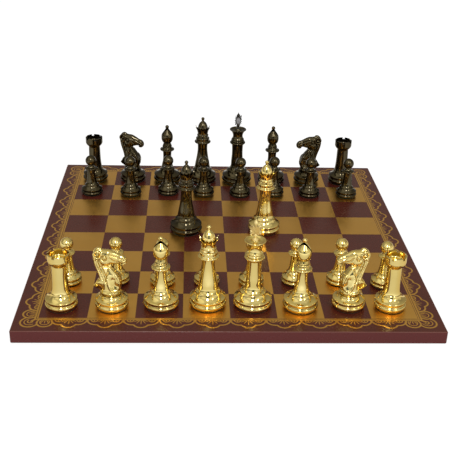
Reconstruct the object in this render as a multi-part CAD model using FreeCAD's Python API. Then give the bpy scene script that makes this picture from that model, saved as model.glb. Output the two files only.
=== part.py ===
import FreeCAD, Part
import math
import os
from FreeCAD import Placement, Rotation, Vector

# Chess set with board, in millimetres.
# Origin: the middle of the board's underside. +Z is up, +X runs from the a file to the h file,
# and +Y runs from the gold side to the dark side.
# Each man is hollow from below, and its hollow is closed by a glued felt pad.

# ---- board ----
square = 50.0
squares_across = 8
margin = 26.0
board_thickness = 14.5
board_corner_radius = 1.5
board_edge_round = 1.2
skin = 0.8
turn_under = 22.0
lining_gap = 0.5

# ---- what all men share ----
pad_thickness = 1.0
pad_setback = 0.5
foot_undercut = 1.8
wall = 3.0
flange_bead = 0.7
flange_rise = 3.4
groove_depth = 1.9
rim_step = 0.6
lip_edge = 0.5
seat_clearance = 0.05
stud_end_gap = 0.5

# Heights above the board of a big man's foot: flange, groove, skirt rim, and lip.
flange_level = 4.6
groove_level = 7.6
rim_level = 10.7
lip_level = 18.6

# ---- king ----
king_height = 105.0
king_base_diameter = 42.2
king_lip_diameter = 28.0
king_stem_diameter = 15.2
king_collar_diameter = 21.8
king_crown_diameter = 23.2
king_crown_height = 20.5
cross_height = 26.0
cross_width = 12.4
cross_plate_height = 12.4
cross_thickness = 3.6
cross_teeth = 4
cross_tooth_depth = 1.0
cross_ball_diameter = 4.6
cross_stud_diameter = 3.6
cross_stud_length = 5.0

# ---- queens ----
queen_height = 95.0
queen_base_diameter = 40.4
queen_lip_diameter = 27.0
queen_stem_diameter = 13.6
queen_collar_diameter = 22.8
queen_coronet_diameter = 22.8
queen_coronet_height = 22.5
queen_dome_diameter = 13.8
queen_ball_diameter = 4.6
queen_finial_neck_diameter = 3.2
coronet_points = 8
coronet_scallop_depth = 3.6

# ---- bishops ----
bishop_height = 83.0
bishop_base_diameter = 38.6
bishop_lip_diameter = 20.6
bishop_stem_diameter = 11.6
bishop_collar_diameter = 20.0
bishop_mitre_diameter = 16.2
bishop_mitre_height = 25.6
bishop_ball_diameter = 5.2
bishop_finial_neck_diameter = 3.8
mitre_slot_width = 2.0
mitre_slot_slope = 73.0
mitre_slot_depth = 7.5
mitre_slot_fall = 13.4

# ---- knights ----
knight_base_diameter = 36.4
knight_lip_diameter = 23.4
knight_plinth_diameter = 20.4
knight_lip_level = 16.3
knight_plinth_level = 19.5
knight_mane_thickness = 4.4
knight_spigot_diameter = 8.0
knight_spigot_length = 6.0

# ---- rooks ----
rook_height = 64.0
rook_base_diameter = 35.2
rook_lip_diameter = 20.8
rook_stem_diameter = 15.6
rook_crown_diameter = 23.4
rook_crown_height = 9.0
rook_crown_cone = 6.0
rook_bowl_depth = 7.5
rook_crown_wall = 1.7
rook_notches = 6
rook_notch_width = 3.0
rook_notch_depth = 2.4

# ---- pawns ----
pawn_height = 55.0
pawn_base_diameter = 29.2
pawn_lip_diameter = 18.6
pawn_stem_diameter = 10.6
pawn_collar_diameter = 17.0
pawn_ball_diameter = 14.4
pawn_neck_diameter = 7.6
pawn_flange_level = 3.3
pawn_flange_rise = 2.6
pawn_groove_level = 5.2
pawn_rim_level = 8.0
pawn_lip_level = 14.2

board_side = squares_across * square + 2 * margin
board_top = board_thickness


def ball_seat(radius, neck):
    """How far a ball's centre is above the level where it is as wide as its neck."""
    return math.sqrt(radius * radius - neck * neck)


class Outline:
    """The edge of a turned piece, drawn from the axis outwards and up, as radius and height."""

    def __init__(self, height):
        self.at = Vector(0, 0, height)
        self.edges = []

    def line(self, radius, height):
        end = Vector(radius, 0, height)
        self.edges.append(Part.LineSegment(self.at, end).toShape())
        self.at = end

    def arc(self, middle, end):
        middle = Vector(middle[0], 0, middle[1])
        end = Vector(end[0], 0, end[1])
        self.edges.append(Part.Arc(self.at, middle, end).toShape())
        self.at = end

    def curve(self, *points):
        through = [self.at] + [Vector(radius, 0, height) for radius, height in points]
        smooth = Part.BSplineCurve()
        smooth.interpolate(through)
        self.edges.append(smooth.toShape())
        self.at = through[-1]

    def bead(self, bulge, rise):
        """A half-round moulding that starts and ends on one radius."""
        radius = self.at.x
        height = self.at.z
        self.arc((radius + bulge, height + rise / 2), (radius, height + rise))

    def ball(self, radius):
        """A ball that sits on the neck drawn so far and closes the outline at the axis."""
        neck = self.at.x
        centre = self.at.z + ball_seat(radius, neck)
        self.arc((radius, centre), (0, centre + radius))

    def turned(self):
        edges = list(self.edges)
        top = Vector(0, 0, self.at.z)
        if self.at.x > 1e-6:
            edges.append(Part.LineSegment(self.at, top).toShape())
        bottom = edges[0].Vertexes[0].Point
        edges.append(Part.LineSegment(top, bottom).toShape())
        face = Part.Face(Part.Wire(Part.__sortEdges__(edges)))
        return face.revolve(Vector(0, 0, 0), Vector(0, 0, 1), 360)


def foot(base_radius, lip_radius, flange, groove, rim, lip, bead=flange_rise):
    """The flange, groove, trumpet skirt and lip that every man stands on. It ends on the lip."""
    edge = Outline(pad_thickness)
    edge.line(base_radius - foot_undercut, pad_thickness)
    edge.line(base_radius - flange_bead, flange - bead / 2)
    edge.bead(flange_bead, bead)
    groove_radius = base_radius - groove_depth
    edge.line(groove_radius + 0.4, groove - 0.8)
    edge.bead(-0.4, 1.6)
    rim_radius = base_radius - rim_step
    edge.line(rim_radius - 0.5, rim - 0.9)
    edge.arc((rim_radius, rim), (rim_radius - 0.8, rim + 0.9))
    spread = rim_radius - lip_radius
    rise = lip - 0.9 - edge.at.z
    skirt_foot = edge.at.z
    edge.curve(
        (lip_radius + 0.62 * spread, skirt_foot + 0.16 * rise),
        (lip_radius + 0.28 * spread, skirt_foot + 0.46 * rise),
        (lip_radius + 0.06 * spread, skirt_foot + 0.80 * rise),
        (lip_radius, skirt_foot + rise),
    )
    edge.line(lip_radius, lip - lip_edge)
    edge.line(lip_radius - lip_edge, lip)
    return edge


def big_foot(base_diameter, lip_diameter, lip=lip_level):
    return foot(base_diameter / 2, lip_diameter / 2, flange_level, groove_level, rim_level, lip)


def hollow(base_diameter, lip_diameter, waist_diameter, lip, top):
    """The space inside a man: wide in the foot, and a tapered core hole up the stem."""
    mouth = base_diameter / 2 - foot_undercut - wall
    throat = min(lip_diameter / 2 - wall, mouth)
    bore = max(waist_diameter / 2 - wall, 1.0)
    edge = Outline(pad_thickness - 0.5)
    edge.line(mouth, pad_thickness - 0.5)
    edge.line(mouth - 0.8, lip * 0.45)
    edge.line(throat - 1.6, lip - 3.0)
    edge.line(bore, lip + 5.0)
    edge.line(bore, top - 1.0)
    edge.line(bore * 0.6, top)
    return edge.turned()


def felt_pad(base_diameter):
    radius = base_diameter / 2 - foot_undercut - pad_setback
    return Part.makeCylinder(radius, pad_thickness)


def king_body():
    seat = king_height - cross_height
    crown_foot = seat - king_crown_height
    stem = king_stem_diameter / 2
    collar = king_collar_diameter / 2
    crown = king_crown_diameter / 2
    edge = big_foot(king_base_diameter, king_lip_diameter)
    stem_length = crown_foot - 3.0 - lip_level
    edge.curve(
        (stem + 3.4, lip_level + 0.04 * stem_length),
        (stem + 1.9, lip_level + 0.10 * stem_length),
        (stem + 0.8, lip_level + 0.32 * stem_length),
        (stem + 0.2, lip_level + 0.55 * stem_length),
        (stem, lip_level + 0.8 * stem_length),
        (stem + 0.4, crown_foot - 3.0),
    )
    edge.line(collar - 1.2, crown_foot - 0.6)
    edge.arc((collar, crown_foot + 0.6), (collar - 1.2, crown_foot + 1.8))
    edge.line(collar - 2.1, crown_foot + 2.3)
    edge.bead(0.6, 2.0)
    edge.line(collar - 2.7, crown_foot + 4.8)
    edge.bead(0.6, 1.8)
    edge.line(collar - 3.4, crown_foot + 7.8)
    edge.curve((collar - 4.0, crown_foot + 10.4), (crown - 3.4, seat - 5.0), (crown - 0.7, seat - 1.4))
    edge.arc((crown, seat - 0.8), (crown - 0.7, seat - 0.1))
    edge.line(crown - 1.8, seat - 0.3)
    edge.curve((crown - 5.2, seat - 1.9), (cross_stud_diameter / 2 + 2.0, seat - 1.2))
    edge.line(cross_stud_diameter / 2 + 1.4, seat)
    body = edge.turned()
    core = hollow(king_base_diameter, king_lip_diameter, king_stem_diameter, lip_level, crown_foot - 4.0)
    socket_radius = cross_stud_diameter / 2 + seat_clearance
    socket_foot = seat - cross_stud_length - stud_end_gap
    socket = Part.makeCylinder(socket_radius, seat - socket_foot + 1.0, Vector(0, 0, socket_foot))
    return body.cut(core).cut(socket)


def saw_edge(start, end, teeth, depth):
    """Points along one side of the cross plate, with teeth that point outwards."""
    step = (end - start) * (1.0 / teeth)
    outwards = Vector(step.z, 0, -step.x)
    outwards.normalize()
    points = []
    for tooth in range(teeth):
        points.append(start + step * tooth)
        points.append(start + step * (tooth + 0.5) + outwards * depth)
    return points


def king_cross():
    seat = king_height - cross_height
    collar_radius = cross_stud_diameter / 2 + 0.6
    plate_low = seat + 4.2
    plate_high = plate_low + cross_plate_height
    neck = Outline(seat - cross_stud_length)
    neck.line(cross_stud_diameter / 2, seat - cross_stud_length)
    neck.line(cross_stud_diameter / 2, seat)
    neck.line(collar_radius, seat)
    neck.bead(0.7, 1.6)
    neck.line(1.7, seat + 2.4)
    neck.curve((1.9, seat + 3.6), (2.6, plate_low + 1.5))
    neck_solid = neck.turned()
    half = cross_width / 2 - cross_tooth_depth
    low = plate_low + cross_tooth_depth
    high = plate_high - cross_tooth_depth
    corners = [Vector(-half, 0, low), Vector(half, 0, low), Vector(half, 0, high), Vector(-half, 0, high)]
    points = []
    for start, end in zip(corners, corners[1:] + corners[:1]):
        points += saw_edge(start, end, cross_teeth, cross_tooth_depth)
    plate_face = Part.Face(Part.makePolygon(points + points[:1]))
    plate_face.translate(Vector(0, -cross_thickness / 2, 0))
    plate = plate_face.extrude(Vector(0, cross_thickness, 0))
    ball_centre = plate_high - cross_tooth_depth + cross_ball_diameter / 2 - 0.3
    ball = Part.makeSphere(cross_ball_diameter / 2, Vector(0, 0, ball_centre))
    spike_foot = ball_centre + cross_ball_diameter / 2 - 0.4
    spike = Part.makeCone(0.9, 0.25, king_height - spike_foot, Vector(0, 0, spike_foot))
    return neck_solid.fuse([plate, ball, spike])


def queen_body():
    coronet_top = queen_height - 13.5
    collar_level = coronet_top - queen_coronet_height
    stem = queen_stem_diameter / 2
    collar = queen_collar_diameter / 2
    rim = queen_coronet_diameter / 2
    dome = queen_dome_diameter / 2
    ball = queen_ball_diameter / 2
    finial_neck = queen_finial_neck_diameter / 2
    edge = big_foot(queen_base_diameter, queen_lip_diameter)
    stem_length = collar_level - 2.6 - lip_level
    edge.curve(
        (stem + 4.5, lip_level + 0.06 * stem_length),
        (stem + 3.5, lip_level + 0.18 * stem_length),
        (stem + 2.3, lip_level + 0.35 * stem_length),
        (stem + 0.9, lip_level + 0.56 * stem_length),
        (stem, lip_level + 0.88 * stem_length),
        (stem + 0.4, collar_level - 2.6),
    )
    edge.line(collar - 1.2, collar_level - 0.8)
    edge.arc((collar, collar_level + 0.5), (collar - 1.2, collar_level + 1.6))
    edge.curve(
        (collar - 2.1, collar_level + 2.6),
        (collar - 1.9, collar_level + 5.2),
        (collar - 3.6, collar_level + 7.0),
    )
    edge.line(collar - 4.1, collar_level + 9.0)
    edge.bead(0.8, 2.2)
    edge.line(collar - 4.3, collar_level + 12.4)
    edge.curve((rim - 3.6, coronet_top - 6.5), (rim - 0.5, coronet_top - 0.3))
    edge.line(rim - 1.1, coronet_top)
    edge.curve((rim - 3.6, coronet_top - 4.0), (dome - 0.2, coronet_top - 5.2))
    edge.curve((dome, coronet_top - 1.5), (dome - 1.2, coronet_top + 3.2), (ball, coronet_top + 7.4))
    edge.line(finial_neck, coronet_top + 8.2)
    edge.line(finial_neck, queen_height - ball - ball_seat(ball, finial_neck))
    edge.ball(ball)
    body = edge.turned()
    waist = queen_stem_diameter
    core = hollow(queen_base_diameter, queen_lip_diameter, waist, lip_level, collar_level - 3.0)
    scallop_radius = math.pi * rim / coronet_points * 0.86
    for point in range(coronet_points):
        cutter = Part.makeCylinder(scallop_radius, rim, Vector(0, 0, 0), Vector(1, 0, 0))
        cutter.translate(Vector(dome + 0.6, 0, coronet_top - coronet_scallop_depth + scallop_radius))
        cutter.rotate(Vector(0, 0, 0), Vector(0, 0, 1), 360.0 / coronet_points * point)
        body = body.cut(cutter)
    return body.cut(core)


def bishop_body():
    mitre_foot = bishop_height - bishop_mitre_height
    collar_level = mitre_foot - 10.0
    stem = bishop_stem_diameter / 2
    collar = bishop_collar_diameter / 2
    mitre = bishop_mitre_diameter / 2
    ball = bishop_ball_diameter / 2
    finial_neck = bishop_finial_neck_diameter / 2
    edge = big_foot(bishop_base_diameter, bishop_lip_diameter)
    stem_length = collar_level - 2.2 - lip_level
    edge.curve(
        (stem + 2.9, lip_level + 0.05 * stem_length),
        (stem + 2.1, lip_level + 0.16 * stem_length),
        (stem + 0.6, lip_level + 0.42 * stem_length),
        (stem, lip_level + 0.7 * stem_length),
        (stem + 0.4, collar_level - 2.2),
    )
    edge.line(collar - 1.3, collar_level - 1.0)
    edge.arc((collar, collar_level), (collar - 1.4, collar_level + 1.2))
    edge.curve((collar - 3.1, collar_level + 2.4), (collar - 3.8, collar_level + 4.0))
    edge.bead(0.5, 1.8)
    edge.line(collar - 4.4, collar_level + 6.2)
    edge.bead(0.5, 1.6)
    edge.line(mitre - 3.2, mitre_foot)
    edge.curve(
        (mitre - 0.9, mitre_foot + 2.9),
        (mitre, mitre_foot + 8.2),
        (mitre - 0.6, mitre_foot + 12.2),
        (mitre - 2.4, mitre_foot + 15.4),
        (finial_neck, bishop_height - ball - ball_seat(ball, finial_neck)),
    )
    edge.ball(ball)
    body = edge.turned()
    waist = bishop_stem_diameter
    core = hollow(bishop_base_diameter, bishop_lip_diameter, waist, lip_level, collar_level - 3.0)
    reach = 2 * mitre
    slot = Part.makeBox(2 * reach, mitre_slot_width, mitre_slot_depth + reach)
    slot.translate(Vector(-reach, -mitre_slot_width / 2, -mitre_slot_depth))
    slot.rotate(Vector(0, 0, 0), Vector(1, 0, 0), 90 - mitre_slot_slope)
    slot.translate(Vector(0, 0, bishop_height - mitre_slot_fall))
    return body.cut(core).cut(slot)


def knight_base():
    edge = big_foot(knight_base_diameter, knight_lip_diameter, knight_lip_level)
    edge.line(knight_plinth_diameter / 2 - 0.4, knight_lip_level - 0.4)
    edge.line(knight_plinth_diameter / 2 - 0.4, knight_plinth_level - 1.8)
    edge.bead(0.4, 1.8)
    body = edge.turned()
    mouth = knight_base_diameter / 2 - foot_undercut - wall
    socket_foot = knight_plinth_level - knight_spigot_length - stud_end_gap
    core_height = socket_foot - wall - pad_thickness
    core = Part.makeCone(mouth, mouth - 3.0, core_height, Vector(0, 0, pad_thickness))
    socket_radius = knight_spigot_diameter / 2 + seat_clearance
    socket = Part.makeCylinder(socket_radius, knight_spigot_length + 1.0, Vector(0, 0, socket_foot))
    return body.cut(core).cut(socket)


def closed_face(points, x_axis):
    """A face inside a smooth closed outline, in the plane of x_axis and Z."""
    places = [x_axis * across + Vector(0, 0, height) for across, height in points]
    smooth = Part.BSplineCurve()
    smooth.interpolate(places)
    ends = Part.LineSegment(places[-1], places[0]).toShape()
    return Part.Face(Part.Wire([smooth.toShape(), ends]))


def extruded_side(points, thickness):
    """A plate of this side outline, centred on the plane of X and Z."""
    plate = closed_face(points, Vector(1, 0, 0)).extrude(Vector(0, thickness, 0))
    plate.translate(Vector(0, -thickness / 2, 0))
    return plate


def knight_head():
    """A horse's head on an arched neck. It looks along +X, and its mane ends in a spur behind."""
    reach = 2 * knight_plinth_diameter
    side = [
        (-8.9, -0.5), (-9.3, 8.0), (-9.4, 16.0), (-10.6, 24.0), (-13.0, 32.0), (-15.2, 41.0),
        (-14.0, 46.6), (-11.0, 49.3), (-7.4, 49.2), (-4.4, 46.6), (5.2, 44.4), (12.6, 39.9),
        (16.0, 35.8), (14.4, 31.6), (10.4, 31.4), (6.2, 33.2), (0.8, 31.2), (3.0, 26.0),
        (8.2, 20.4), (10.4, 14.0), (9.2, 7.4), (8.9, -0.5),
    ]
    mane = [
        (-6.0, -0.5), (-12.6, 3.0), (-18.3, 6.1), (-13.4, 11.0), (-11.2, 15.8), (-12.7, 21.5),
        (-15.0, 29.5), (-17.0, 40.5), (-15.8, 46.6), (-12.4, 49.8), (-8.0, 46.0), (-6.0, 30.0),
    ]
    half_width = [(8.9, -0.5), (8.8, 9.0), (6.8, 21.0), (5.0, 31.0), (5.4, 38.0), (4.6, 44.0), (2.2, 50.0)]
    front = half_width + [(-across, height) for across, height in reversed(half_width)]
    front_solid = closed_face(front, Vector(0, 1, 0)).extrude(Vector(2 * reach, 0, 0))
    front_solid.translate(Vector(-reach, 0, 0))
    neck_and_head = extruded_side(side, reach).common(front_solid)
    head = neck_and_head.fuse(extruded_side(mane, knight_mane_thickness))
    above_plinth = Part.makeBox(2 * reach, 2 * reach, 2 * reach, Vector(-reach, -reach, 0))
    spigot_foot = Vector(0, 0, -knight_spigot_length)
    spigot = Part.makeCylinder(knight_spigot_diameter / 2, knight_spigot_length + 0.5, spigot_foot)
    head = head.common(above_plinth).fuse(spigot)
    head.translate(Vector(0, 0, knight_plinth_level))
    return head


def rook_body():
    crown_foot = rook_height - rook_crown_height
    cone_foot = crown_foot - rook_crown_cone
    crown = rook_crown_diameter / 2
    stem = rook_stem_diameter / 2
    edge = big_foot(rook_base_diameter, rook_lip_diameter)
    stem_length = cone_foot - lip_level
    edge.curve(
        (stem + 1.6, lip_level + 0.06 * stem_length),
        (stem + 0.9, lip_level + 0.22 * stem_length),
        (stem + 0.3, lip_level + 0.55 * stem_length),
        (stem, cone_foot),
    )
    edge.curve((stem + 0.3, cone_foot + 1.8), (stem + 1.0, cone_foot + 2.8))
    edge.curve((crown - 1.2, crown_foot - 1.4), (crown - 0.2, crown_foot + 0.6), (crown, crown_foot + 3.0))
    edge.line(crown, rook_height - 0.4)
    edge.line(crown - 0.4, rook_height)
    bowl = crown - rook_crown_wall
    bowl_floor = rook_height - rook_bowl_depth
    edge.line(bowl, rook_height)
    edge.line(bowl - 0.5, bowl_floor + 1.5)
    edge.arc((bowl - 1.0, bowl_floor + 0.4), (bowl - 2.4, bowl_floor))
    body = edge.turned()
    core = hollow(rook_base_diameter, rook_lip_diameter, rook_stem_diameter, lip_level, cone_foot - 2.0)
    for notch in range(rook_notches):
        cutter = Part.makeBox(rook_crown_diameter, rook_notch_width, 2 * rook_notch_depth)
        cutter.translate(Vector(bowl / 2, -rook_notch_width / 2, rook_height - rook_notch_depth))
        cutter.rotate(Vector(0, 0, 0), Vector(0, 0, 1), 360.0 / rook_notches * notch)
        body = body.cut(cutter)
    return body.cut(core)


def pawn_body():
    ball = pawn_ball_diameter / 2
    neck = pawn_neck_diameter / 2
    stem = pawn_stem_diameter / 2
    collar = pawn_collar_diameter / 2
    ball_centre = pawn_height - ball
    neck_top = ball_centre - ball_seat(ball, neck)
    collar_level = neck_top - 5.4
    levels = (pawn_flange_level, pawn_groove_level, pawn_rim_level, pawn_lip_level)
    edge = foot(pawn_base_diameter / 2, pawn_lip_diameter / 2, *levels, bead=pawn_flange_rise)
    stem_length = collar_level - 1.6 - pawn_lip_level
    edge.curve(
        (stem + 2.6, pawn_lip_level + 0.05 * stem_length),
        (stem + 1.3, pawn_lip_level + 0.25 * stem_length),
        (stem, pawn_lip_level + 0.75 * stem_length),
        (stem + 0.2, collar_level - 1.6),
    )
    edge.line(collar - 1.1, collar_level - 0.2)
    edge.arc((collar, collar_level + 0.7), (collar - 1.2, collar_level + 1.4))
    edge.curve((neck + 1.2, collar_level + 2.6), (neck, neck_top))
    edge.ball(ball)
    core_top = collar_level - 3.0
    core = hollow(pawn_base_diameter, pawn_lip_diameter, pawn_stem_diameter, pawn_lip_level, core_top)
    return edge.turned().cut(core)


def rounded_block(side, bottom, top, corner_radius, edge_round):
    block = Part.makeBox(side, side, top - bottom, Vector(-side / 2, -side / 2, bottom))
    upright = [edge for edge in block.Edges if abs(edge.Vertexes[0].Z - edge.Vertexes[1].Z) > 1e-6]
    block = block.makeFillet(corner_radius, upright)
    flat = [edge for edge in block.Edges if edge.BoundBox.ZLength < 1e-6]
    return block.makeFillet(edge_round, flat)


def board_pieces():
    """The panel, and around it the leatherette, turned under and closed by a lining sheet."""
    outer = rounded_block(board_side, 0, board_top, board_corner_radius, board_edge_round)
    panel = rounded_block(
        board_side - 2 * skin, skin, board_top - skin, board_corner_radius - skin, board_edge_round - skin)
    window_side = board_side - 2 * turn_under
    window = Part.makeBox(window_side, window_side, skin, Vector(-window_side / 2, -window_side / 2, 0))
    lining_side = window_side - 2 * lining_gap
    lining = Part.makeBox(lining_side, lining_side, skin, Vector(-lining_side / 2, -lining_side / 2, 0))
    return panel, [outer.cut(panel).cut(window), lining]


def square_centre(file, rank):
    """The middle of a square, on the board's top. Files and ranks count from 1."""
    middle = (squares_across + 1) / 2
    return Vector((file - middle) * square, (rank - middle) * square, board_top)


def placed(shape, place, turn):
    copy = shape.copy()
    copy.Placement = Placement(place, Rotation(Vector(0, 0, 1), turn)).multiply(copy.Placement)
    return copy


def save(node, shapes):
    shape = shapes[0] if len(shapes) == 1 else Part.makeCompound(shapes)
    shape.exportStep("parts/" + node + ".step")


# Where each man stands: its file, then how far it is from the middle of its square in X and Y,
# and how far it is turned. Hands set the men down, so none stands quite true.
GOLD_BACK_RANK = [
    ("rook_1", 1, -4.5, -1.5, 10), ("knight_1", 2, -1.0, -1.0, -4), ("bishop_1", 3, 1.5, 0.5, 0),
    ("queen", 4, 1.5, 3.5, 0), ("king", 5, 0.0, 2.5, 0), ("bishop_2", 6, 1.5, -1.0, -22),
    ("knight_2", 7, 4.0, 1.0, 186), ("rook_2", 8, -0.5, -0.5, 4),
]
DARK_BACK_RANK = [
    ("rook_1", 1, -3.5, -3.0, -16), ("knight_1", 2, 0.0, -3.0, -6), ("bishop_1", 3, -1.0, -4.0, 8),
    ("queen", 4, -1.0, -3.0, 0), ("king", 5, -1.5, -4.0, 0), ("bishop_2", 6, -1.5, -3.0, -8),
    ("knight_2", 7, -0.5, -3.0, 184), ("rook_2", 8, -0.5, -3.0, 20),
]
GOLD_PAWNS = [
    (-3.5, 1.0), (0.0, 2.5), (1.5, 0.5), (1.0, 0.0),
    (1.5, 0.0), (0.5, 3.0), (2.0, 4.0), (1.5, -3.0),
]
DARK_PAWNS = [
    (-3.5, -2.0), (0.0, -4.0), (1.5, 1.0), (0.5, -2.0),
    (1.0, -3.5), (-2.0, 1.0), (-2.0, -2.5), (0.0, -2.5),
]
GOLD_SPARE_QUEEN = (5.5, 4.5, 1.0, 11.0)
DARK_SPARE_QUEEN = (3.5, 4.5, 2.0, 8.0)

BODIES = {
    "king": king_body(),
    "queen": queen_body(),
    "bishop": bishop_body(),
    "rook": rook_body(),
}
BASE_DIAMETERS = {
    "king": king_base_diameter,
    "queen": queen_base_diameter,
    "bishop": bishop_base_diameter,
    "knight": knight_base_diameter,
    "rook": rook_base_diameter,
}
CROSS = king_cross()
KNIGHT_BASE = knight_base()
KNIGHT_HEAD = knight_head()
PAWN = pawn_body()
PAWN_PAD = felt_pad(pawn_base_diameter)


def save_man(side, name, place, turn):
    kind = name.split("_")[0]
    node = side + "_" + name
    if kind == "knight":
        save(node + "_base", [placed(KNIGHT_BASE, place, turn)])
        save(node + "_head", [placed(KNIGHT_HEAD, place, turn)])
    else:
        save(node, [placed(BODIES[kind], place, turn)])
    if kind == "king":
        save(node + "_cross", [placed(CROSS, place, turn)])
    save(node + "_pad", [placed(felt_pad(BASE_DIAMETERS[kind]), place, turn)])


def save_side(side, back_rank, back_men, pawn_rank, pawn_offsets, spare):
    for name, file, across, along, turn in back_men:
        save_man(side, name, square_centre(file, back_rank) + Vector(across, along, 0), turn)
    for number, (across, along) in enumerate(pawn_offsets, start=1):
        place = square_centre(number, pawn_rank) + Vector(across, along, 0)
        save(side + "_pawn_" + str(number), [placed(PAWN, place, 0), placed(PAWN_PAD, place, 0)])
    file, rank, across, along = spare
    spot = square_centre(file, rank) + Vector(across, along, 0)
    save(side + "_spare_queen", [placed(BODIES["queen"], spot, 0)])
    save(side + "_spare_queen_pad", [placed(felt_pad(queen_base_diameter), spot, 0)])


os.makedirs("parts", exist_ok=True)
PANEL, COVER = board_pieces()
save("board_panel", [PANEL])
save("board_cover", COVER)
save_side("gold", 1, GOLD_BACK_RANK, 2, GOLD_PAWNS, GOLD_SPARE_QUEEN)
save_side("dark", squares_across, DARK_BACK_RANK, squares_across - 1, DARK_PAWNS, DARK_SPARE_QUEEN)
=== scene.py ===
"""Looks of the chess set: metals, felt, leatherette, stamped gold, horse heads, crosses, studio."""
import math

import bmesh
import bpy
import numpy as np
from mathutils import Matrix, Vector


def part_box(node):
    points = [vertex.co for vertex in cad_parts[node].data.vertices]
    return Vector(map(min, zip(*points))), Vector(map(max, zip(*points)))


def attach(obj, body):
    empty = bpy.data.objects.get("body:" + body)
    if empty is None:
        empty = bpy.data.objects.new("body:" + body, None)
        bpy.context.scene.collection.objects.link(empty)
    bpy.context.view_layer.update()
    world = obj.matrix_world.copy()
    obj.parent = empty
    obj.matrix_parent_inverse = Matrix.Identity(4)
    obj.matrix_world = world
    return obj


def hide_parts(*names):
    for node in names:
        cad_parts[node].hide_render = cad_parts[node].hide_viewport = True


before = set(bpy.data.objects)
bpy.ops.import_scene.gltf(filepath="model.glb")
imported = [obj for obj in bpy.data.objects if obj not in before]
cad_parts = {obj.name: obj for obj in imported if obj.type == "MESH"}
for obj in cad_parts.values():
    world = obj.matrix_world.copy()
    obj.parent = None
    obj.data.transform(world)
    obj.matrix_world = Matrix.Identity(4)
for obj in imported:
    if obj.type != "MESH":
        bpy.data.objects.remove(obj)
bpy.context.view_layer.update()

MM = 0.001
SIDES = ("gold", "dark")

# Board, from the frame: its box, and the plain margin round the 8 x 8 squares.
board_low, board_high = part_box("board_cover")
BOARD_TOP = board_high.z
MARGIN = 26 * MM
HALF_FIELD = (board_high.x - board_low.x) / 2 - MARGIN
SQUARE = HALF_FIELD / 4
PAD_TOP = BOARD_TOP + 1 * MM
LINING_HALF = HALF_FIELD + 3 * MM
LINING_TOP = 1.2 * MM


# ---------------------------------------------------------------- materials

# Pairs are the two colours that a cloud, patch or fibre goes between.
# In the metals, the edge colour is painted shade at the rim that turns away from the view, and the groove
# colour is painted shade in grooves and slots. On the dark cross the edge colour is also the darker rim round
# its bright middle.
GOLD = dict(bright=(0.92, 0.78, 0.36, 1), deep=(0.89, 0.73, 0.29, 1), edge=(0.78, 0.54, 0.12, 1),
            groove_shade=(0.12, 0.055, 0.012, 1))
DARK = dict(bright=(0.120, 0.103, 0.066, 1), deep=(0.085, 0.071, 0.044, 1), edge=(0.022, 0.016, 0.008, 1),
            groove_shade=(0.005, 0.004, 0.003, 1))
GOLD_FROSTED = dict(bright=(0.95, 0.80, 0.38, 1), deep=(0.90, 0.70, 0.27, 1), edge=(0.85, 0.62, 0.20, 1),
                    groove_shade=(0.30, 0.16, 0.03, 1))
DARK_FROSTED = dict(bright=(0.52, 0.53, 0.58, 1), deep=(0.42, 0.43, 0.47, 1), edge=(0.018, 0.015, 0.011, 1),
                    groove_shade=(0.02, 0.018, 0.016, 1))
# Painted shade: near black inside the sawn slot of the bishops' mitres.
SLOT_PAINTED_SHADE = (0.030, 0.006, 0.005, 1)
FELT_GREENS = (0.002, 0.010, 0.005, 1), (0.012, 0.045, 0.022, 1)
FELT_SHADE = (0.004, 0.016, 0.008, 1)
WINE_REDS = (0.082, 0.0150, 0.0088, 1), (0.100, 0.0185, 0.0105, 1)
# Painted shade in the creases of the grain.
CREASE_PAINTED_SHADE = (0.040, 0.006, 0.005, 1)
# Painted light on the sides of the cover.
SIDE_PAINTED_LIGHT = (0.110, 0.0190, 0.0205, 1)
# A painted highlight on the rounded edges of the cover.
EDGE_PAINTED_HIGHLIGHT = (0.34, 0.15, 0.13, 1)
LINING_GREYS = (0.010, 0.010, 0.011, 1), (0.030, 0.029, 0.030, 1)
FIBRE_BROWNS = (0.16, 0.095, 0.05, 1), (0.30, 0.19, 0.11, 1)
FOIL_GOLDS = (0.82, 0.470, 0.108, 1), (0.76, 0.425, 0.092, 1)
FOIL_WORN = (0.24, 0.09, 0.03, 1)

POLISH = dict(smooth=0.02, dull=0.07)
FROST = dict(smooth=0.30, dull=0.42, metallic=0.3)
# A wider and darker painted shade, for the bishops' slots.
SAWN_SLOT_SHADE = dict(POLISH, reach=6.0 * MM, shade=(0.50, 0.92))
LATHE_RINGS = 2600.0


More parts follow.
